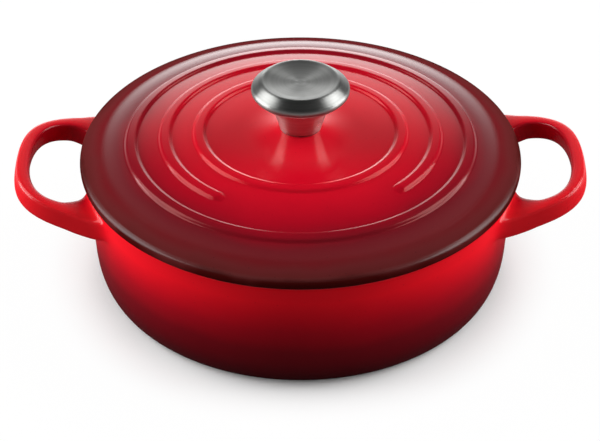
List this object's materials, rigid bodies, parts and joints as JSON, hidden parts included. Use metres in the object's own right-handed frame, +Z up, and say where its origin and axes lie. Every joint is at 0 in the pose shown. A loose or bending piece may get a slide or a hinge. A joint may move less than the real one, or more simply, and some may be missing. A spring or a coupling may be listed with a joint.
{
  "type": "dutch oven",
  "caption": "Wide, shallow round enamelled cast-iron dutch oven with loop handles, a ringed drop-in lid and a flared steel knob screwed on from below.",
  "frame": {"origin": "on the floor under the middle of the pot, on the lid's and knob's axis", "axes": "+Z up along the pot's axis, +X through the right-hand loop handle as the picture shows it, -Y towards the viewer"},
  "size_m": [0.3334, 0.256, 0.126],
  "materials": {
    "pot_enamel": "cast iron under glossy red vitreous enamel that darkens towards the base, sand-coloured enamel inside",
    "lid_enamel": "cast iron under glossy red vitreous enamel that darkens towards the edge, sand-coloured enamel beneath",
    "knob_steel": "finely brushed stainless steel",
    "screw_steel": "plain stainless steel"
  },
  "bodies": {
    "pot": {"pot_body": "pot_enamel"},
    "lid": {"lid": "lid_enamel", "knob_stem": "knob_steel", "knob_cap": "knob_steel", "knob_insert": "screw_steel"},
    "washer": {"knob_washer": "screw_steel"},
    "screw": {"knob_screw": "screw_steel"}
  },
  "joints": [
    {"name": "lid_lift", "type": "slide", "parent": "pot", "child": "lid", "axis": [0, 0, 1], "range_m": [0, 0.12]},
    {"name": "washer_drop", "type": "slide", "parent": "lid", "child": "washer", "axis": [0, 0, -1], "range_m": [0, 0.01]},
    {"name": "screw_turn", "type": "hinge", "parent": "washer", "child": "screw", "pos_m": [0, 0, 0.0825], "axis": [0, 0, -1], "range_deg": [0, 3600]}
  ],
  "couplings": [
    {"joint": "screw_turn", "follows": "washer_drop", "rad_per_m": 6283.2}
  ]
}
